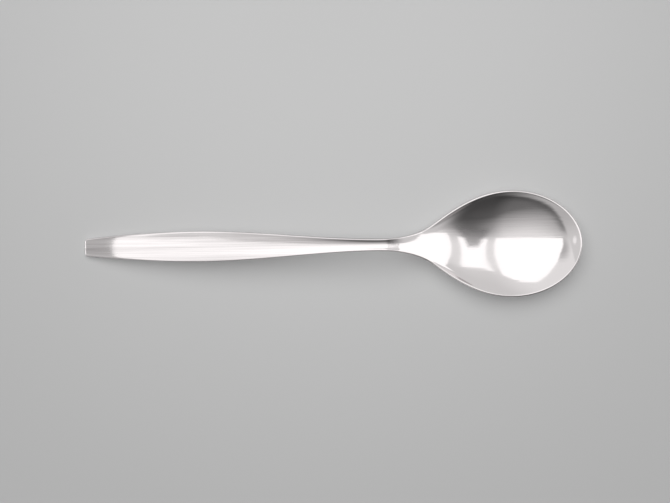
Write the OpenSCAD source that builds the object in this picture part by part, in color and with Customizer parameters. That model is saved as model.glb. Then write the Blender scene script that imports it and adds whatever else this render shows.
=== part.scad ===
// Teaspoon forged from one blank of stainless steel, lying face up on a table.
// X runs from the handle's end to the front of the bowl, Y across and Z up.
// The origin is on the table, under the middle of the spoon's length.

/* [Plan] */
// Handle's end to the narrowest point of the neck
handle_length = 83; // [70:1:110]
// Handle's end to its widest point
belly_from_end = 32.5; // [24:0.5:42]
// Narrowest point of the neck to the middle of the bowl's shoulders
flare_length = 16; // [13:0.5:20]
// Middle of the shoulders to the widest point of the bowl
shoulder_length = 21.5; // [18:0.5:26]
// Widest point of the bowl to its front
front_length = 19.5; // [15:0.5:24]
// Width of the handle's end
end_width = 5; // [4.4:0.1:6.5]
// Corner radius of the handle's end, seen from above
end_corner = 1.1; // [0.8:0.1:1.4]
// Width of the handle at its widest
handle_width = 8.6; // [7:0.1:12]
// Width of the neck at its narrowest
neck_width = 3.6; // [3:0.1:5]
// Width of the bowl across the middle of its shoulders
shoulder_width = 12.3; // [10:0.1:15]
// Angle between the bowl's shoulders and the long axis
shoulder_angle = 36; // [28:1:42]
// Width of the bowl at its widest
bowl_width = 30; // [25:0.5:36]

/* [Side profile] */
// Slope of the handle at its end
end_slope = 15.2; // [9:0.2:17]
// Length of the handle's end that keeps close to that slope
end_run = 24.6; // [14:0.2:28]
// Height of the top of the arch at the neck
arch_height = 9.6; // [8.5:0.1:11]
// Narrowest point of the neck to the top of the arch
arch_past_neck = 1.3; // [0:0.1:3]
// Radius of the arch
arch_radius = 10; // [8:0.5:30]
// Lowest point of the bowl's floor to the front of the bowl
floor_from_front = 21.7; // [20:0.1:26]
// Radius of the floor along the bowl
floor_radius = 60; // [45:1:70]
// Depth of the bowl under its rim
bowl_depth = 4.8; // [4.2:0.1:6]
// Deepest point under the rim to the front of the bowl
deep_from_front = 24.3; // [21:0.1:26.5]
// Deepest point to the place where the hollow runs out on the neck
hollow_length = 21.3; // [19:0.1:26]
// Height of the rim at the front
front_height = 6.8; // [6.2:0.1:8.4]
// Slope of the front wall at the rim
front_slope = 38.2; // [32:0.2:42]
// Length of the front wall
front_run = 5.3; // [4.5:0.1:6.5]

/* [Cross section] */
// Hollow of the handle's face at its widest
face_hollow = 0.18; // [0:0.01:0.3]
// Hollow of the channel between the widest point of the handle and the neck
channel_hollow = 0.26; // [0:0.01:0.4]
// Hollow of the neck's face
neck_hollow = 0.28; // [0:0.01:0.32]
// Part of the depth that the floor's round takes at the heel of the bowl, its walls taking the rest
heel_round = 0.35; // [0.2:0.01:0.9]
// Part of the depth that the floor's round takes where the bowl is deepest
floor_round = 0.9; // [0.7:0.01:1]
// Steepness of the bowl's walls, from open to nearly upright
wall_fullness = 8; // [4:0.5:9]
// Thickness of the handle's end
end_thickness = 1.4; // [1.2:0.1:2]
// Radius that rounds over the handle's end
end_round = 0.5; // [0.2:0.05:0.55]
// Thickness along the middle of the handle at its widest
handle_thickness = 2.1; // [1.6:0.1:2.8]
// Thickness of the handle's round edges at its widest
handle_edge = 1; // [0.8:0.1:1.4]
// Thickness along the middle of the neck
neck_thickness = 2.7; // [2.2:0.1:3.4]
// Thickness of the neck's round edges
neck_edge = 1.1; // [0.9:0.1:1.6]
// Fullness of the rounded back, from a plain arc to a square back
back_fullness = 2.4; // [2:0.1:3]
// Thickness of the bowl's floor
floor_thickness = 1.2; // [1:0.1:1.8]
// Thickness of the bowl's round rim
rim_thickness = 0.8; // [0.7:0.05:1.2]

/* [Hidden] */

// Places along the spoon, from the handle's end
neck_x = handle_length;
arch_x = neck_x + arch_past_neck;
channel_x = belly_from_end + 0.3 * (arch_x - belly_from_end);
shoulder_x = neck_x + flare_length;
wide_x = shoulder_x + shoulder_length;
spoon_length = wide_x + front_length;
front_x = spoon_length - rim_thickness / 2;
floor_x = spoon_length - floor_from_front;
deep_x = spoon_length - deep_from_front;

// Fineness of the mesh: stations in each stretch of the outline, and points round a section
stretch_steps = [6, 9, 15, 10, 10, 16];
half_face_points = 9;
edge_steps = 4;
front_stop = 0.035;
spread_angle = 60;
nudge = 0.001;

// Point at t on a cubic Bezier curve
function bezier(p, t) =
    p[0] * pow(1 - t, 3) + 3 * p[1] * t * pow(1 - t, 2) + 3 * p[2] * t * t * (1 - t) + p[3] * pow(t, 3);

// Height of a Bezier curve at x, where x grows along the curve
function height_at(p, x, low = 0, high = 1, turns = 30) =
    let (t = (low + high) / 2, p_t = bezier(p, t))
    turns == 0 ? p_t[1] :
    p_t[0] < x ? height_at(p, x, t, high, turns - 1) : height_at(p, x, low, t, turns - 1);

// Length of the Bezier arm that gives radius r beside a level end, rise being the other arm's offset
function arm(rise, r) = sqrt(2 / 3 * rise * r);

// Smooth passage through the [x, value] pairs of a list, level at each pair
function smooth(t) = pow(t, 3) * (10 - 15 * t + 6 * t * t);
function along(pairs, x, i = 0) =
    x <= pairs[0][0] ? pairs[0][1] :
    i == len(pairs) - 1 ? pairs[i][1] :
    x > pairs[i + 1][0] ? along(pairs, x, i + 1) :
    let (a = pairs[i], b = pairs[i + 1]) a[1] + (b[1] - a[1]) * smooth((x - a[0]) / (b[0] - a[0]));

function unit(v) = v / norm(v);

// Outline, as half widths: end to belly, belly to neck, neck to shoulder, shoulder to widest
end_side = [
    [end_corner, end_width / 2],
    [end_corner + belly_from_end / 4, end_width / 2 + (handle_width - end_width) / 4],
    [belly_from_end * 2 / 3, handle_width / 2],
    [belly_from_end, handle_width / 2]];
belly_to_neck = (neck_x - belly_from_end) / 3;
handle_side = [
    [belly_from_end, handle_width / 2],
    [belly_from_end + belly_to_neck, handle_width / 2],
    [neck_x - belly_to_neck, neck_width / 2],
    [neck_x, neck_width / 2]];
shoulder_run = flare_length / 4.5;
shoulder_slope = tan(shoulder_angle);
flare_side = [
    [neck_x, neck_width / 2],
    [neck_x + flare_length / 2, neck_width / 2],
    [shoulder_x - shoulder_run, shoulder_width / 2 - shoulder_run * shoulder_slope],
    [shoulder_x, shoulder_width / 2]];
lift = shoulder_length / 4.3;
lift_end = shoulder_width / 2 + lift * shoulder_slope;
wide_radius = pow(front_length, 2) / (bowl_width / 2);
shoulder_side = [
    [shoulder_x, shoulder_width / 2],
    [shoulder_x + lift, lift_end],
    [wide_x - arm(bowl_width / 2 - lift_end, wide_radius), bowl_width / 2],
    [wide_x, bowl_width / 2]];

// Spine, half an edge's thickness under the face along the long axis: end to arch, arch to floor,
// floor to front
arch_z = arch_height - neck_edge / 2;
end_z = end_thickness / 2 / cos(end_slope) - end_round * tan(end_slope);
end_run_z = end_z + end_run * tan(end_slope);
floor_z = floor_thickness - rim_thickness / 2;
front_z = front_height - rim_thickness / 2;
wall_foot_z = front_z - front_run * tan(front_slope);
handle_spine = [
    [0, end_z],
    [end_run, end_run_z],
    [arch_x - arm(arch_z - end_run_z, arch_radius), arch_z],
    [arch_x, arch_z]];
descent_spine = [
    [arch_x, arch_z],
    [arch_x + arm(arch_z - floor_z, arch_radius), arch_z],
    [floor_x - arm(arch_z - floor_z, floor_radius), floor_z],
    [floor_x, floor_z]];
floor_spine = [
    [floor_x, floor_z],
    [floor_x + arm(wall_foot_z - floor_z, floor_radius), floor_z],
    [front_x - front_run, wall_foot_z],
    [front_x, front_z]];
function spine(x) = height_at(x < arch_x ? handle_spine : x < floor_x ? descent_spine : floor_spine, x);

// Depth of the bowl at x, from the place where its hollow runs out on the neck to the front
function bowl_hollow(x) =
    x < deep_x ? bowl_depth * pow(1 - pow(min(1, (deep_x - x) / hollow_length), 2), 2) :
    bowl_depth * (1 - pow((x - deep_x) / (front_x - deep_x), 2));
function bowl_round(x) = along([
    [deep_x - hollow_length, heel_round], [deep_x, floor_round], [front_x, 1]], x);

// Thickness along the middle and at the edges, and the hollow of the handle's face
function middle_thickness(x) = along([
    [0, end_thickness], [belly_from_end, handle_thickness], [arch_x, neck_thickness],
    [floor_x, floor_thickness], [front_x, rim_thickness]], x);
function edge_thickness(x) = along([
    [0, end_thickness], [belly_from_end, handle_edge], [arch_x, neck_edge], [shoulder_x, rim_thickness]], x);
function hollow(x) = along([
    [0, 0], [belly_from_end, face_hollow], [channel_x, channel_hollow], [arch_x, neck_hollow],
    [deep_x - hollow_length / 2, 0]], x);
function end_cut(x) = x < end_round ? end_round - sqrt(pow(end_round, 2) - pow(end_round - x, 2)) : 0;

// Half width between the middles of the round edges at s, each stretch of the outline being one unit of s
function inside_edge(p) = [p[0], p[1] - edge_thickness(p[0]) / 2];
function end_corner_point(t) =
    [end_corner * (1 - cos(90 * t)), end_width / 2 - end_corner * (1 - sin(90 * t))];
function front_point(t) =
    [wide_x + (front_x - wide_x) * sin(90 * t), (bowl_width - rim_thickness) / 2 * cos(90 * t)];
function outline(s) =
    s < 1 ? inside_edge(end_corner_point(s)) :
    s < 2 ? inside_edge(bezier(end_side, s - 1)) :
    s < 3 ? inside_edge(bezier(handle_side, s - 2)) :
    s < 4 ? inside_edge(bezier(flare_side, s - 3)) :
    s < 5 ? inside_edge(bezier(shoulder_side, s - 4)) : front_point(s - 5);

// Cross section at s: [x, half width, height of the edges, depth, radius of the edges, crown of the back,
// part of the depth that is round]
function section(s) =
    let (p = outline(s), x = p[0], edge = edge_thickness(x), bowl = bowl_hollow(x), depth = hollow(x) + bowl)
    [x, p[1], spine(x) + depth, depth, edge / 2 - end_cut(x), middle_thickness(x) - edge,
     hollow(x) + bowl * bowl_round(x)];

// Point of the surface that runs through the middles of the edges, u going from -1 to 1 across it: a round
// floor, and walls that take up the rest of the depth
function middle_point(c, u) =
    [c[0], c[1] * u, c[2] - c[3] + c[6] * u * u + (c[3] - c[6]) * pow(abs(u), wall_fullness)];
function across(i) = sin(spread_angle * i / half_face_points) / sin(spread_angle);

// Angle at which the rounded back of section c leaves its round edges without a crease
function flank(c, angle = 0, turns = 20) =
    turns == 0 ? angle :
    let (drop = c[5] + c[4] * (1 - cos(angle)), reach = c[1] + c[4] * sin(angle))
    flank(c, atan(back_fullness * drop / reach), turns - 1);

// Ring of points round the section at s: face, right edge, back and left edge
function ring(s) =
    let (last = len(stretch_steps) - front_stop, c = section(s))
    let (before = section(max(s - nudge, 0)), after = section(min(s + nudge, last + nudge)))
    let (side_before = section(max(s, 1) - nudge), side_after = section(max(s, 1) + nudge))
    let (normal = function (u) unit(cross(
        middle_point(after, u) - middle_point(before, u),
        middle_point(c, u + nudge) - middle_point(c, u - nudge))))
    let (outward = function (side)
        side * unit(cross(normal(side), middle_point(side_after, side) - middle_point(side_before, side))))
    let (leave = flank(c), reach = c[1] + c[4] * sin(leave), low = c[4] + c[5], rise = low - c[4] * cos(leave))
    let (face = function (u) middle_point(c, u) + c[4] * normal(u))
    let (edge = function (side, turn)
        middle_point(c, side) + c[4] * (cos(turn) * normal(side) + sin(turn) * outward(side)))
    let (back = function (v)
        let (u = v * reach / c[1], in = max(-1, min(1, u)))
        middle_point(c, in) + (abs(u) > 1 ? (abs(u) - 1) * c[1] * outward(sign(u)) : [0, 0, 0])
        - (low - rise * pow(abs(v), back_fullness)) * normal(in))
    concat(
        [for (i = [-half_face_points : half_face_points]) face(across(i))],
        [for (k = [1 : edge_steps - 1]) edge(1, (180 - leave) * k / edge_steps)],
        [for (i = [half_face_points : -1 : -half_face_points]) back(across(i))],
        [for (k = [edge_steps - 1 : -1 : 1]) edge(-1, (180 - leave) * k / edge_steps)]);

// Skin over a list of rings, closed at both ends
module loft(rings) {
    count = len(rings[0]);
    sides = [
        for (r = [0 : len(rings) - 2], i = [0 : count - 1])
        let (a = r * count + i, b = r * count + (i + 1) % count)
        each [[a, b, a + count], [b, b + count, a + count]]];
    last = (len(rings) - 1) * count;
    start_cap = [for (f = end_faces(count)) [f[2], f[1], f[0]]];
    front_cap = [for (f = end_faces(count)) [last + f[0], last + f[1], last + f[2]]];
    polyhedron([for (r = rings) each r], concat(sides, start_cap, front_cap));
}

// Triangles that close one ring: the face's row and the back's row, each to its nearest edge points,
// and a ladder of rungs from the right edge to the left edge between them
function end_faces(count) =
    let (row = 2 * half_face_points, back = row + edge_steps, low = edge_steps - 1)
    let (right = function (k) row + k, left = function (k) count - k)
    concat(
        [for (i = [0 : row - 1]) [i, i + 1, i < row / 2 ? left(1) : right(1)]],
        [[row / 2, right(1), left(1)]],
        [for (k = [1 : low - 1]) each [[right(k), right(k + 1), left(k)], [right(k + 1), left(k + 1), left(k)]]],
        [for (i = [0 : row - 1]) [back + i, back + i + 1, i < row / 2 ? right(low) : left(low)]],
        [[back + row / 2, left(low), right(low)]]);

// The whole spoon: handle, neck and bowl are one forging
module spoon() {
    stations = [
        for (k = [0 : len(stretch_steps) - 1], i = [0 : stretch_steps[k] - 1]) k + i / stretch_steps[k],
        len(stretch_steps) - front_stop];
    color("silver") translate([-spoon_length / 2, 0, 0]) loft([for (s = stations) ring(s)]);
}

spoon();
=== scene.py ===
import math
import bpy
import numpy as np
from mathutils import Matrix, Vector


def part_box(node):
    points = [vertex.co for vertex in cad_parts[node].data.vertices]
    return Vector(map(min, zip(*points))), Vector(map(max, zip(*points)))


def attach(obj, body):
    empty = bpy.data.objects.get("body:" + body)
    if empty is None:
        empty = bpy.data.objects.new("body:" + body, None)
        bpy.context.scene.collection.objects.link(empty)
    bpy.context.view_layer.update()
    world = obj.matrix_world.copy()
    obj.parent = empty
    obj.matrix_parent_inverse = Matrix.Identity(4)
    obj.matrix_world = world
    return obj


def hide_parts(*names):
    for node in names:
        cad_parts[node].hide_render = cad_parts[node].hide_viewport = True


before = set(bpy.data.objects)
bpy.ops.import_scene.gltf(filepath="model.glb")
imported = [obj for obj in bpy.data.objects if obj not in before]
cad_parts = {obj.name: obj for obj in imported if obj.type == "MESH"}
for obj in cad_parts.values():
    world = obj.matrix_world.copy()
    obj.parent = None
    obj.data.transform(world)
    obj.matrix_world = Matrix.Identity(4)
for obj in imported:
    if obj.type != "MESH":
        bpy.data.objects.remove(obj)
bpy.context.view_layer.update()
print("frame loaded:", list(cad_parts))

mm = 0.001  # in metres


def hexColour(text):
    # sRGB hex to linear, with alpha 1
    parts = [int(text[i:i + 2], 16) / 255 for i in (1, 3, 5)]
    return [p / 12.92 if p <= 0.04045 else ((p + 0.055) / 1.055) ** 2.4 for p in parts] + [1.0]


def addNode(tree, kind, settings=None, **links):
    # settings go to the node's own properties or its sockets
    # links name a socket of this node, by number after a _ or by name with _ for a space, and give it
    # another node's output or a plain number
    node = tree.nodes.new(kind)
    for key, value in (settings or {}).items():
        if isinstance(key, str) and hasattr(node, key):
            setattr(node, key, value)
        else:
            node.inputs[key].default_value = value
    for key, source in links.items():
        socket = node.inputs[int(key[1:])] if key[0] == "_" else node.inputs[key.replace("_", " ")]
        if isinstance(source, float):
            socket.default_value = source
        else:
            tree.links.new(source, socket)
    return node


def newMaterial(name):
    material = bpy.data.materials.new(name)
    material.use_nodes = True
    material.node_tree.nodes.clear()
    return material, material.node_tree


# the spoon's shape, in mm from the handle's end, from the same driving sizes as the solid

spoonShape = {
    # plan
    "handleLength": 83.0, "bellyFromEnd": 32.5, "flareLength": 16.0, "shoulderLength": 21.5,
    "frontLength": 19.5, "endWidth": 5.0, "endCorner": 1.1, "handleWidth": 8.6, "neckWidth": 3.6,
    "shoulderWidth": 12.3, "shoulderAngle": 36.0, "bowlWidth": 30.0,
    "shoulderArms": (4.5, 4.3),  # the flare and the shoulder are so many times as long as their curves' arms
    # side profile
    "endSlope": 15.2, "endRun": 24.6, "archHeight": 9.6, "archPastNeck": 1.3, "archRadius": 10.0,
    "floorFromFront": 21.7, "floorRadius": 60.0, "bowlDepth": 4.8, "deepFromFront": 24.3,
    "hollowLength": 21.3, "frontHeight": 6.8, "frontSlope": 38.2, "frontRun": 5.3,
    # cross section
    "faceHollow": 0.18, "channelHollow": 0.26, "neckHollow": 0.28,
    "channelAt": 0.3,  # share of the way from the handle's widest place to the arch
    "heelRound": 0.35, "floorRound": 0.9, "wallFullness": 8.0,
    "endThickness": 1.4, "endRound": 0.5, "handleThickness": 2.1, "handleEdge": 1.0,
    "neckThickness": 2.7, "neckEdge": 1.1, "backFullness": 2.4, "floorThickness": 1.2, "rimThickness": 0.8,
    "edgeFullness": 4.5, "rimFullness": 2.0,  # a circle is 2; the handle's ground edges are fuller on top
    # fineness of the mesh
    "stretchSteps": [12, 26, 48, 40, 40, 64], "halfFacePoints": 26, "edgeSteps": 14, "frontStop": 0.012,
    "spreadAngle": 60.0, "nudge": 0.001, "halvings": 40, "settlings": 20,
}
shape = spoonShape

# places along the spoon
belly = shape["bellyFromEnd"]
neckX = shape["handleLength"]
archX = neckX + shape["archPastNeck"]
channelX = belly + shape["channelAt"] * (archX - belly)
shoulderX = neckX + shape["flareLength"]
wideX = shoulderX + shape["shoulderLength"]
spoonLength = wideX + shape["frontLength"]
frontX = spoonLength - shape["rimThickness"] / 2
floorX = spoonLength - shape["floorFromFront"]
deepX = spoonLength - shape["deepFromFront"]
heelX = deepX - shape["hollowLength"]


def bezier(points, t):
    p = np.asarray(points, float)
    t = np.asarray(t, float)[..., None]
    return p[0] * (1 - t) ** 3 + 3 * p[1] * t * (1 - t) ** 2 + 3 * p[2] * t * t * (1 - t) + p[3] * t ** 3


def heightAt(points, x):
    # the curve's height where it passes x
    low, high = np.zeros_like(x), np.ones_like(x)
    for _ in range(shape["halvings"]):
        middle = (low + high) / 2
        before = bezier(points, middle)[..., 0] < x
        low, high = np.where(before, middle, low), np.where(before, high, middle)
    return bezier(points, (low + high) / 2)[..., 1]


def arm(rise, radius):
    # Bezier arm that gives this radius beside a level end
    return math.sqrt(2 / 3 * rise * radius)


def along(pairs, x):
    # smooth passage through [x, value] pairs, level at each
    value = np.full_like(x, pairs[0][1])
    for (x0, v0), (x1, v1) in zip(pairs, pairs[1:]):
        t = np.clip((x - x0) / (x1 - x0), 0, 1)
        value = value + (v1 - v0) * t ** 3 * (10 - 15 * t + 6 * t * t)
    return value


def unit(v):
    return v / np.linalg.norm(v, axis=-1, keepdims=True)


def slopeOf(degrees):
    return math.tan(math.radians(degrees))


# the outline's four curved stretches between the end's corner and the front, as x and half width
halfEnd, halfHandle, halfNeck = shape["endWidth"] / 2, shape["handleWidth"] / 2, shape["neckWidth"] / 2
halfShoulder, halfBowl = shape["shoulderWidth"] / 2, shape["bowlWidth"] / 2
third = (neckX - belly) / 3
shoulderRun = shape["flareLength"] / shape["shoulderArms"][0]
shoulderSlope = slopeOf(shape["shoulderAngle"])
lift = shape["shoulderLength"] / shape["shoulderArms"][1]
liftEnd = halfShoulder + lift * shoulderSlope
sides = [
    [[shape["endCorner"], halfEnd], [shape["endCorner"] + belly / 4, (halfEnd + halfHandle) / 2],
     [belly * 2 / 3, halfHandle], [belly, halfHandle]],
    [[belly, halfHandle], [belly + third, halfHandle], [neckX - third, halfNeck], [neckX, halfNeck]],
    [[neckX, halfNeck], [neckX + shape["flareLength"] / 2, halfNeck],
     [shoulderX - shoulderRun, halfShoulder - shoulderRun * shoulderSlope], [shoulderX, halfShoulder]],
    [[shoulderX, halfShoulder], [shoulderX + lift, liftEnd],
     [wideX - arm(halfBowl - liftEnd, shape["frontLength"] ** 2 / halfBowl), halfBowl], [wideX, halfBowl]]]

# heights half an edge's thickness under the face, along the long axis
archZ = shape["archHeight"] - shape["neckEdge"] / 2
endSlope = slopeOf(shape["endSlope"])
endZ = shape["endThickness"] / 2 / math.cos(math.radians(shape["endSlope"])) - shape["endRound"] * endSlope
endRunZ = endZ + shape["endRun"] * endSlope
floorZ = shape["floorThickness"] - shape["rimThickness"] / 2
frontZ = shape["frontHeight"] - shape["rimThickness"] / 2
wallFootZ = frontZ - shape["frontRun"] * slopeOf(shape["frontSlope"])
handleSpine = [[0, endZ], [shape["endRun"], endRunZ],
               [archX - arm(archZ - endRunZ, shape["archRadius"]), archZ], [archX, archZ]]
descentSpine = [[archX, archZ], [archX + arm(archZ - floorZ, shape["archRadius"]), archZ],
                [floorX - arm(archZ - floorZ, shape["floorRadius"]), floorZ], [floorX, floorZ]]
floorSpine = [[floorX, floorZ], [floorX + arm(wallFootZ - floorZ, shape["floorRadius"]), floorZ],
              [frontX - shape["frontRun"], wallFootZ], [frontX, frontZ]]


def edgeThickness(x):
    return along([(0, shape["endThickness"]), (belly, shape["handleEdge"]), (archX, shape["neckEdge"]),
                  (shoulderX, shape["rimThickness"])], x)


def outline(s):
    # half widths between the middles of the round edges, one unit of s for each stretch
    out = np.zeros(s.shape + (2,))
    turn = np.radians(90 * np.clip(s, 0, 1))
    out[..., 0] = shape["endCorner"] * (1 - np.cos(turn))
    out[..., 1] = halfEnd - shape["endCorner"] * (1 - np.sin(turn))
    for k, side in enumerate(sides, 1):
        here = s >= k
        out[here] = bezier(side, np.clip(s[here] - k, 0, 1))
    out[..., 1] -= edgeThickness(out[..., 0]) / 2
    front = len(sides) + 1
    here = s >= front
    turn = np.radians(90 * (s[here] - front))
    out[here, 0] = wideX + (frontX - wideX) * np.sin(turn)
    out[here, 1] = (halfBowl - shape["rimThickness"] / 2) * np.cos(turn)
    return out


def section(s):
    # edgeZ and radius belong to the round edges, crown to the back, and arc is the round part of the depth
    line = outline(s)
    x = line[..., 0]
    spine = np.where(x < archX, heightAt(handleSpine, x),
                     np.where(x < floorX, heightAt(descentSpine, x), heightAt(floorSpine, x)))
    backPart = np.clip((deepX - x) / shape["hollowLength"], 0, 1)
    frontPart = np.clip((x - deepX) / (frontX - deepX), 0, 1)
    bowl = shape["bowlDepth"] * (1 - backPart ** 2) ** 2 * (1 - frontPart ** 2)
    rounded = along([(heelX, shape["heelRound"]), (deepX, shape["floorRound"]), (frontX, 1)], x)
    hollow = along([(0, 0), (belly, shape["faceHollow"]), (channelX, shape["channelHollow"]),
                    (archX, shape["neckHollow"]), (deepX - shape["hollowLength"] / 2, 0)], x)
    thick = along([(0, shape["endThickness"]), (belly, shape["handleThickness"]),
                   (archX, shape["neckThickness"]), (floorX, shape["floorThickness"]),
                   (frontX, shape["rimThickness"])], x)
    edge = edgeThickness(x)
    r = shape["endRound"]
    cut = np.where(x < r, r - np.sqrt(np.maximum(r * r - (r - x) ** 2, 0)), 0)
    return {"x": x, "half": line[..., 1], "edgeZ": spine + hollow + bowl, "depth": hollow + bowl,
            "radius": edge / 2 - cut, "crown": thick - edge, "arc": hollow + bowl * rounded}


def middlePoint(cut, u):
    # half an edge's thickness under the face, with u from -1 to 1 across it
    x, half, edgeZ, depth, arc = (cut[key][:, None] for key in ("x", "half", "edgeZ", "depth", "arc"))
    z = edgeZ - depth + arc * u ** 2 + (depth - arc) * np.abs(u) ** shape["wallFullness"]
    return np.stack(np.broadcast_arrays(x, half * u, z), -1)


def normalAt(s, u):
    d = shape["nudge"]
    last = len(shape["stretchSteps"]) - shape["frontStop"]
    ahead = middlePoint(section(np.minimum(s + d, last + d)), u)
    behind = middlePoint(section(np.maximum(s - d, 0)), u)
    here = section(s)
    return unit(np.cross(ahead - behind, middlePoint(here, u + d) - middlePoint(here, u - d)))


def outwardAt(s, side):
    # sideways out of an edge; the end's corners take the direction of the side that follows
    d = shape["nudge"]
    at = np.maximum(s, 1)
    u = np.full((len(s), 1), float(side))
    lengthwise = middlePoint(section(at + d), u) - middlePoint(section(at - d), u)
    return side * unit(np.cross(normalAt(s, u), lengthwise))


def spoonRings():
    steps, n, turns = shape["stretchSteps"], shape["halfFacePoints"], shape["edgeSteps"]
    stations = [k + i / count for k, count in enumerate(steps) for i in range(count)]
    s = np.array(stations + [len(steps) - shape["frontStop"]])
    cut = section(s)
    half, r, crown = (cut[key][:, None] for key in ("half", "radius", "crown"))
    spread = math.radians(shape["spreadAngle"])
    u = np.sin(spread * np.arange(-n, n + 1) / n) / math.sin(spread)
    u = np.broadcast_to(u, (len(s), len(u)))
    face = middlePoint(cut, u) + r[..., None] * normalAt(s, u)

    leave = np.zeros_like(r)  # angle at which the back leaves the round edges without a crease
    for _ in range(shape["settlings"]):
        fall = crown + r * (1 - np.cos(leave))
        leave = np.arctan(shape["backFullness"] * fall / (half + r * np.sin(leave)))
    reach, low = half + r * np.sin(leave), r + crown
    rise = low - r * np.cos(leave)

    def edge(side):
        at = np.full((len(s), 1), float(side))
        turn = ((math.pi - leave) * np.arange(1, turns) / turns)[..., None]
        fullness = along([(archX, shape["edgeFullness"]), (shoulderX, shape["rimFullness"])], cut["x"])
        power = np.where(turn < math.pi / 2, 2 / fullness[:, None, None], 1)
        up = np.sign(np.cos(turn)) * np.abs(np.cos(turn)) ** power
        out = np.sin(turn) ** power
        return middlePoint(cut, at) + r[..., None] * (up * normalAt(s, at) + out * outwardAt(s, side))

    wide = u * reach / half
    inside = np.clip(wide, -1, 1)
    past = (np.maximum(np.abs(wide) - 1, 0) * half)[..., None]
    past = past * np.where((u > 0)[..., None], outwardAt(s, 1), outwardAt(s, -1))
    under = (low - rise * np.abs(u) ** shape["backFullness"])[..., None]
    back = middlePoint(cut, inside) + past - under * normalAt(s, inside)
    return np.concatenate([face, edge(1), back[:, ::-1], edge(-1)[:, ::-1]], 1)


def buildSpoon():
    rings = spoonRings()
    count, around = rings.shape[:2]
    points = rings.reshape(-1, 3)
    # seat the loft in the solid's own box, which also turns mm into metres
    low, high = (np.array(corner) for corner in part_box("spoon"))
    least, most = points.min(0), points.max(0)
    points = low + (points - least) / (most - least) * (high - low)
    quads = []
    for k in range(count - 1):
        for i in range(around):
            a, b = k * around + i, k * around + (i + 1) % around
            quads.append((a, b, b + around, a + around))
    # rows that close the two ends, between the face's row and the back's
    row, turns = 2 * shape["halfFacePoints"], shape["edgeSteps"]
    top = list(range(row + 1))
    right = [row + k for k in range(1, turns)]
    left = [around - k for k in range(1, turns)]
    bottom = [row + turns + i for i in range(row + 1)]

    def closing(base, flip):
        loops = [top + [right[0], left[0]]]
        loops += [[left[k], right[k], right[k + 1], left[k + 1]] for k in range(turns - 2)]
        loops += [bottom + [left[-1], right[-1]]]
        return [tuple(base + i for i in (loop if flip else loop[::-1])) for loop in loops]

    faces = quads + closing(0, False) + closing((count - 1) * around, True)
    mesh = bpy.data.meshes.new("spoonForging")
    mesh.from_pydata(points.tolist(), [], faces)
    mesh.validate()
    mesh.update()
    mesh.polygons.foreach_set("use_smooth", [True] * len(mesh.polygons))
    spoon = bpy.data.objects.new("spoonForging", mesh)
    bpy.context.collection.objects.link(spoon)
    print("spoon built:", len(mesh.vertices), "points,", len(mesh.polygons), "faces")
    return spoon


# stainless steel, stamped, ground lengthwise and satin polished

steelLook = {
    "bright": "#D4D0D0", "dull": "#B4B0B0",
    # marks in mm, drawn out along the spoon; turn is in degrees, detail and grain are the noise's own
    "lines": {"spacing": 0.55, "length": 18.0, "turn": 0.0, "detail": 3.0, "grain": 0.6},  # coarsened to show
    "hairs": {"spacing": 0.65, "length": 60.0, "turn": 0.5, "detail": 4.0, "grain": 0.7},  # coarsened to show
    # the broad dull bands are partly the belt's streaks and partly a painted reflection: a dim stripe of the
    # room, painted into the steel's colour
    "broadBandsPaintedReflection": {"spacing": 3.4, "length": 120.0, "turn": 0.0, "detail": 1.0, "grain": 0.5},  # broad and dull
    "clouds": {"spacing": 14.0, "length": 14.0, "turn": 0.0, "detail": 3.0, "grain": 0.55},
    "lineDepth": 0.0100, "hairDepth": 0.0012,
    "bandShare": 0.55, "streakNoise": (0.37, 0.55),  # hairs and bands together make the belt's streaks
    "cloudShare": 0.5, "roughNoise": (0.35, 0.65), "roughness": (0.05, 0.10),
    "brushedTo": (-8.0, 20.0),  # mm from the middle; the handle is brushed, the bowl polished
    "bendAt": 2.6, "bendHalf": (1.6, 0.7), "bendRoughness": 0.18,  # mm past the arch, out of a wheel's reach
}


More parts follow.
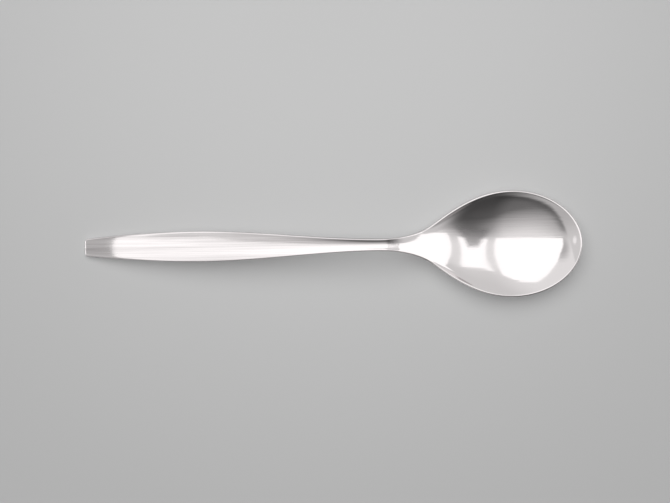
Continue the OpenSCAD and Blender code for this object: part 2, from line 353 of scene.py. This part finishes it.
def satinSteel():
    # nickel-bright metal whose polishing lines draw each reflection out a little across the spoon
    look = steelLook
    material, tree = newMaterial("stainlessSteelSatinPolished")
    place = addNode(tree, "ShaderNodeTexCoord").outputs["Object"]
    noise = {}
    for name in ("lines", "hairs", "broadBandsPaintedReflection", "clouds"):
        mark = look[name]
        repeats = [1 / (mark[size] * mm) for size in ("length", "spacing", "length")]
        drawn = addNode(tree, "ShaderNodeMapping",
                        {"Rotation": (0, 0, math.radians(mark["turn"])), "Scale": repeats}, Vector=place)
        noise[name] = addNode(tree, "ShaderNodeTexNoise",
                              {"Scale": 1.0, "Detail": mark["detail"], "Roughness": mark["grain"]},
                              Vector=drawn.outputs[0]).outputs["Fac"]

    # colour: dull and bright streaks on the handle, all bright in the bowl; the broad dull bands among them
    # are partly the belt's streaks and partly a painted reflection
    lengthwise = addNode(tree, "ShaderNodeSeparateXYZ", Vector=place).outputs["X"]
    brushed, clear = look["brushedTo"]
    polished = addNode(tree, "ShaderNodeMapRange", {"From Min": brushed * mm, "From Max": clear * mm},
                       Value=lengthwise)
    streaksAndReflection = addNode(tree, "ShaderNodeMix", {"data_type": "FLOAT", 0: look["bandShare"]},
                   _2=noise["hairs"], _3=noise["broadBandsPaintedReflection"])
    least, most = look["streakNoise"]
    streaks = addNode(tree, "ShaderNodeMapRange", {"From Min": least, "From Max": most},
                      Value=streaksAndReflection.outputs[0])
    shine = addNode(tree, "ShaderNodeMath", {"operation": "MAXIMUM"},
                    _0=streaks.outputs[0], _1=polished.outputs[0])
    tint = addNode(tree, "ShaderNodeMix",
                   {"data_type": "RGBA", 6: hexColour(look["dull"]), 7: hexColour(look["bright"])},
                   _0=shine.outputs[0])

    # roughness: lines and clouds, and a duller bend
    cloudy = addNode(tree, "ShaderNodeMix", {"data_type": "FLOAT", 0: look["cloudShare"]},
                     _2=noise["lines"], _3=noise["clouds"])
    least, most = look["roughNoise"]
    smooth, coarse = look["roughness"]
    satin = addNode(tree, "ShaderNodeMapRange",
                    {"From Min": least, "From Max": most, "To Min": smooth, "To Max": coarse},
                    Value=cloudy.outputs[0])
    bendX = (archX + look["bendAt"] - spoonLength / 2) * mm
    pastBend = addNode(tree, "ShaderNodeMath", {"operation": "SUBTRACT", 1: bendX}, _0=lengthwise)
    fromBend = addNode(tree, "ShaderNodeMath", {"operation": "ABSOLUTE"}, _0=pastBend.outputs[0])
    outer, inner = look["bendHalf"]
    bend = addNode(tree, "ShaderNodeMapRange",
                   {"From Min": outer * mm, "From Max": inner * mm, "To Max": look["bendRoughness"]},
                   Value=fromBend.outputs[0])
    rough = addNode(tree, "ShaderNodeMath", {"operation": "ADD"}, _0=satin.outputs[0], _1=bend.outputs[0])

    hairBump = addNode(tree, "ShaderNodeBump", {"Strength": 1.0, "Distance": look["hairDepth"] * mm},
                       Height=noise["hairs"])
    lineBump = addNode(tree, "ShaderNodeBump", {"Strength": 1.0, "Distance": look["lineDepth"] * mm},
                       Height=noise["lines"], Normal=hairBump.outputs[0])
    metal = addNode(tree, "ShaderNodeBsdfPrincipled", {"Metallic": 1.0},
                    Base_Color=tint.outputs[2], Roughness=rough.outputs[0], Normal=lineBump.outputs[0])
    addNode(tree, "ShaderNodeOutputMaterial", Surface=metal.outputs[0])
    return material


spoon = buildSpoon()
spoon.data.materials.append(satinSteel())
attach(spoon, "root")
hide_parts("spoon")
print("spoon finished in satin steel")


# table top, a smooth pale grey board, in metres

tableLook = {
    # middle and outside are the two ends of a painted pool of light: paler round the spoon, darker further
    # out
    "size": 16.0, "middle": "#C1C1C1", "outside": "#AEAEAE",
    "centre": (0.0, 0.07, 0.0), "spread": (0.02, 0.19),  # of the pale pool
    "roughness": 0.6, "specular": 0.1,
}


def buildTable():
    look = tableLook
    half = look["size"] / 2
    mesh = bpy.data.meshes.new("tableTop")
    corners = [(-half, -half, 0), (half, -half, 0), (half, half, 0), (-half, half, 0)]
    mesh.from_pydata(corners, [], [(0, 1, 2, 3)])
    table = bpy.data.objects.new("tableTop", mesh)
    bpy.context.collection.objects.link(table)
    # matt grey board, its colour painted paler in a soft round pool about the spoon and darker outwards: a
    # painted pool of light
    material, tree = newMaterial("greyBoardMattPaintedLightPool")
    place = addNode(tree, "ShaderNodeTexCoord").outputs["Object"]
    away = addNode(tree, "ShaderNodeVectorMath", {"operation": "DISTANCE", 1: look["centre"]}, _0=place)
    near, far = look["spread"]
    share = addNode(tree, "ShaderNodeMapRange",
                    {"interpolation_type": "SMOOTHSTEP", "From Min": near, "From Max": far},
                    Value=away.outputs["Value"])
    tone = addNode(tree, "ShaderNodeMix",
                   {"data_type": "RGBA", 6: hexColour(look["middle"]), 7: hexColour(look["outside"])},
                   _0=share.outputs[0])
    paint = addNode(tree, "ShaderNodeBsdfPrincipled",
                    {"Roughness": look["roughness"], "Specular IOR Level": look["specular"]},
                    Base_Color=tone.outputs[2])
    addNode(tree, "ShaderNodeOutputMaterial", Surface=paint.outputs[0])
    mesh.materials.append(material)


buildTable()
print("table laid")


# soft light, in metres: window panes overhead on the +Y side, a thin cloth that hangs below them,
# a round lamp low on the left, and the table's own lamp and fill

lightPlan = {
    "paneHeight": 0.536, "radiance": 1.6,
    "panes": [
        [(-0.346, -0.062), (0.141, -0.066), (0.175, 0.44), (0.06, 0.54), (-0.057, 0.545), (-0.15, 0.40),
         (-0.20, 0.313), (-0.26, 0.225), (-0.301, 0.129), (-0.338, 0.06), (-0.356, 0.02)],
        [(0.180, -0.068), (0.362, -0.08), (0.305, 0.30), (0.215, 0.42)],
        [(0.425, -0.09), (1.1, -0.11), (1.3, 1.1), (0.72, 0.95), (0.58, 0.45), (0.42, 0.21), (0.40, 0.12)]],
    # the cloth's colours run from dark at the first Y of its shade ramp to pale at the second: painted shade
    "clothHeight": 0.44, "clothColours": ("#909090", "#C4C4C4"), "clothPaintedShade": (-0.18, 0.0),
    "cloth": [(0.09, -0.2), (0.32, -0.2), (0.28, 0.06), (0.13, 0.06)],
    # the close weave's middle line, half width, change of half width along Y, soft sides and soft ends
    "clothMiddle": 0.222, "clothHalf": 0.045, "clothFlare": -0.25, "clothEdge": (1.0, 0.45),
    "clothEnds": [(-0.2, -0.12), (0.06, 0.0)],
    "lampPlace": (-0.537, -0.032, 0.418), "lampSize": 0.085, "lampRadiance": 0.34,
    "keyPlace": (-0.16, 0.735, 2.04), "keySize": 2.91, "keyRadiance": 2.33, "fillLevel": 0.33,
}


def hangSheet(name, corners, height, material):
    mesh = bpy.data.meshes.new(name)
    mesh.from_pydata([(x, y, height) for x, y in corners], [], [tuple(range(len(corners)))])
    mesh.materials.append(material)
    sheet = bpy.data.objects.new(name, mesh)
    bpy.context.collection.objects.link(sheet)
    sheet.visible_diffuse = sheet.visible_shadow = False  # for the steel alone, the table has its own lamps


def hangLamp(name, place, size, radiance):
    # a disk that faces the spoon, its power worked out from its radiance
    lamp = bpy.data.lights.new(name, "AREA")
    lamp.shape, lamp.size = "DISK", size
    lamp.energy = radiance * math.pi * math.pi / 4 * size ** 2
    bulb = bpy.data.objects.new(name, lamp)
    bulb.location = place
    bulb.rotation_euler = (-Vector(place)).to_track_quat("-Z", "Y").to_euler()
    bpy.context.collection.objects.link(bulb)
    return bulb


def greyVoile():
    # thin woven cloth, closer along its middle, which the bowl shows as a soft dark tongue; its colour is
    # painted darker towards its -Y end, a painted shade
    plan = lightPlan
    material, tree = newMaterial("greyVoileWoven")
    place = addNode(tree, "ShaderNodeTexCoord").outputs["Object"]
    spot = addNode(tree, "ShaderNodeSeparateXYZ", Vector=place)
    offMiddle = addNode(tree, "ShaderNodeMath", {"operation": "SUBTRACT", 1: plan["clothMiddle"]},
                        _0=spot.outputs["X"])
    away = addNode(tree, "ShaderNodeMath", {"operation": "ABSOLUTE"}, _0=offMiddle.outputs[0])
    half = addNode(tree, "ShaderNodeMath",
                   {"operation": "MULTIPLY_ADD", 1: plan["clothFlare"], 2: plan["clothHalf"]},
                   _0=spot.outputs["Y"])
    part = addNode(tree, "ShaderNodeMath", {"operation": "DIVIDE"}, _0=away.outputs[0], _1=half.outputs[0])
    outer, inner = plan["clothEdge"]
    weave = addNode(tree, "ShaderNodeMapRange",
                    {"interpolation_type": "SMOOTHSTEP", "From Min": outer, "From Max": inner},
                    Value=part.outputs[0])
    for outer, inner in plan["clothEnds"]:
        end = addNode(tree, "ShaderNodeMapRange",
                      {"interpolation_type": "SMOOTHSTEP", "From Min": outer, "From Max": inner},
                      Value=spot.outputs["Y"])
        weave = addNode(tree, "ShaderNodeMath", {"operation": "MULTIPLY"},
                        _0=weave.outputs[0], _1=end.outputs[0])
    # painted shade: the cloth's colour darkens towards -Y
    far, near = plan["clothPaintedShade"]
    share = addNode(tree, "ShaderNodeMapRange", {"From Min": far, "From Max": near}, Value=spot.outputs["Y"])
    dark, pale = (hexColour(text) for text in plan["clothColours"])
    tone = addNode(tree, "ShaderNodeMix", {"data_type": "RGBA", 6: dark, 7: pale}, _0=share.outputs[0])
    lit = addNode(tree, "ShaderNodeBsdfDiffuse", Color=tone.outputs[2])
    backlit = addNode(tree, "ShaderNodeBsdfTranslucent", Color=tone.outputs[2])
    threads = addNode(tree, "ShaderNodeMixShader", _1=lit.outputs[0], _2=backlit.outputs[0])
    gaps = addNode(tree, "ShaderNodeBsdfTransparent")
    woven = addNode(tree, "ShaderNodeMixShader",
                    _0=weave.outputs[0], _1=gaps.outputs[0], _2=threads.outputs[0])
    addNode(tree, "ShaderNodeOutputMaterial", Surface=woven.outputs[0])
    return material


def hangLights():
    plan = lightPlan
    # frosted glass with daylight behind it, even and without a visible source
    glass, tree = newMaterial("frostedGlassLit")
    glow = addNode(tree, "ShaderNodeEmission", {"Strength": plan["radiance"]})
    addNode(tree, "ShaderNodeOutputMaterial", Surface=glow.outputs[0])
    for k, corners in enumerate(plan["panes"], 1):
        hangSheet("pane%d" % k, corners, plan["paneHeight"], glass)
    hangSheet("greyCloth", plan["cloth"], plan["clothHeight"], greyVoile())
    hangLamp("roundLamp", plan["lampPlace"], plan["lampSize"], plan["lampRadiance"])
    # the table's own light: a soft lamp that gives the shadow and an even one, straight down, that gives none
    key = hangLamp("tableKey", plan["keyPlace"], plan["keySize"], plan["keyRadiance"])
    sky = bpy.data.lights.new("tableFill", "SUN")
    sky.energy, sky.use_shadow = plan["fillLevel"] * math.pi, False
    fill = bpy.data.objects.new("tableFill", sky)
    bpy.context.collection.objects.link(fill)
    key.visible_glossy = fill.visible_glossy = False


# the room by direction: a place is an azimuth and a height in degrees, and an edge runs from its first
# number to its second, as degrees from that place, or as cosines where a note says so

roomLook = {
    "pale": 1.10, "plusY": (90, 0), "paleEdge": (-0.3, 0.0),              # +Y side, cosines
    "fadeFrom": (137, 82), "fade": (17, 47), "fadeLevel": (1.12, 0.22),   # -Y side, darker the lower it is
    "rightWall": (17, -24), "corner": (-0.20, 0.34), "rightLevel": 0.88,  # pale wall that ends it, cosines
    "up": (0, 90), "rightTop": (0.866, 0.743),                            # top of that wall, cosines
    "cornerShade": (-0.36, 0.0), "cornerLevel": (1.0, 0.0),               # darkest in its corner, cosines
    "leftWall": (172, 55), "left": (17, 5), "leftLevel": 0.64,            # dimmer, beyond the handle's end
    "lowFrom": (34, 40), "low": (91, 94),                                 # low walls all round
    "lowSides": (-0.5, 0.0), "lowLevel": (0.64, 0.90),                    # paler on the +Y side, cosines
    "ledge": (84, 91), "ledgeLevel": (1.0, 0.65),                         # shade above the low walls
    "darkAt": (-72, 1), "dark": (56, 0), "darkLevel": 0.055,              # open doorway
    "glowAt": (180, 4), "glow": (18, 12), "glowLevel": 3.2,               # lit one, edges the handle's end
}


def roomLight():
    look = roomLook
    world = bpy.data.worlds.new("room")
    bpy.context.scene.world = world
    world.use_nodes = True
    tree = world.node_tree
    tree.nodes.clear()
    sky = addNode(tree, "ShaderNodeTexCoord").outputs["Generated"]

    def region(place, edge, levels=(0.0, 1.0), cosine=False, kind="SMOOTHSTEP"):
        azimuth, height = (math.radians(a) for a in place)
        flat = math.cos(height)
        towards = (math.cos(azimuth) * flat, math.sin(azimuth) * flat, math.sin(height))
        measure = addNode(tree, "ShaderNodeVectorMath", {"operation": "DOT_PRODUCT", 1: towards}, _0=sky)
        measure = measure.outputs["Value"]
        if not cosine:
            measure = addNode(tree, "ShaderNodeMath", {"operation": "ARCCOSINE"}, _0=measure).outputs[0]
            edge = [math.radians(a) for a in edge]
        settings = {"interpolation_type": kind, "From Min": edge[0], "From Max": edge[1],
                    "To Min": levels[0], "To Max": levels[1]}
        return addNode(tree, "ShaderNodeMapRange", settings, Value=measure).outputs[0]

    # the dim -Y side
    level = region(look["fadeFrom"], look["fade"], look["fadeLevel"], kind="LINEAR")
    corner = region(look["rightWall"], look["cornerShade"], look["cornerLevel"], cosine=True, kind="LINEAR")
    ledge = region(look["lowFrom"], look["ledge"], look["ledgeLevel"])
    for shade in (corner, ledge):
        level = addNode(tree, "ShaderNodeMath", {"operation": "MULTIPLY"}, _0=level, _1=shade).outputs[0]

    # what covers it, each over the ones before
    top = region(look["up"], look["rightTop"], cosine=True)
    rightTone = addNode(tree, "ShaderNodeMix", {"data_type": "FLOAT"},
                        _0=top, _2=look["pale"], _3=look["rightLevel"]).outputs[0]
    lowTone = region(look["plusY"], look["lowSides"], look["lowLevel"], cosine=True)
    covers = [
        (region(look["plusY"], look["paleEdge"], cosine=True), look["pale"]),
        (region(look["rightWall"], look["corner"], cosine=True), rightTone),
        (region(look["leftWall"], look["left"]), look["leftLevel"]),
        (region(look["lowFrom"], look["low"]), lowTone),
        (region(look["darkAt"], look["dark"]), look["darkLevel"]),
        (region(look["glowAt"], look["glow"]), look["glowLevel"]),
    ]
    for share, tone in covers:
        level = addNode(tree, "ShaderNodeMix", {"data_type": "FLOAT"}, _0=share, _2=level, _3=tone).outputs[0]
    glow = addNode(tree, "ShaderNodeBackground", {"Color": hexColour("#FFFFFF")}, Strength=level)
    addNode(tree, "ShaderNodeOutputWorld", Surface=glow.outputs[0])
    world.cycles_visibility.diffuse = False  # for the steel alone


hangLights()
roomLight()
print("light set")


# camera straight above, turned a little as in the photograph; places in metres

cameraPlan = {"lens": 85.0, "sensor": 36.0, "place": (0.00072, -0.00173, 0.4487), "turn": -0.52}


def placeCamera():
    data = bpy.data.cameras.new("camera")
    data.lens, data.sensor_width, data.sensor_fit = cameraPlan["lens"], cameraPlan["sensor"], "HORIZONTAL"
    camera = bpy.data.objects.new("camera", data)
    camera.location = cameraPlan["place"]
    camera.rotation_euler = (0, 0, math.radians(cameraPlan["turn"]))
    bpy.context.collection.objects.link(camera)
    bpy.context.scene.camera = camera


placeCamera()
bpy.context.scene.view_settings.view_transform = "Standard"
print("camera placed")
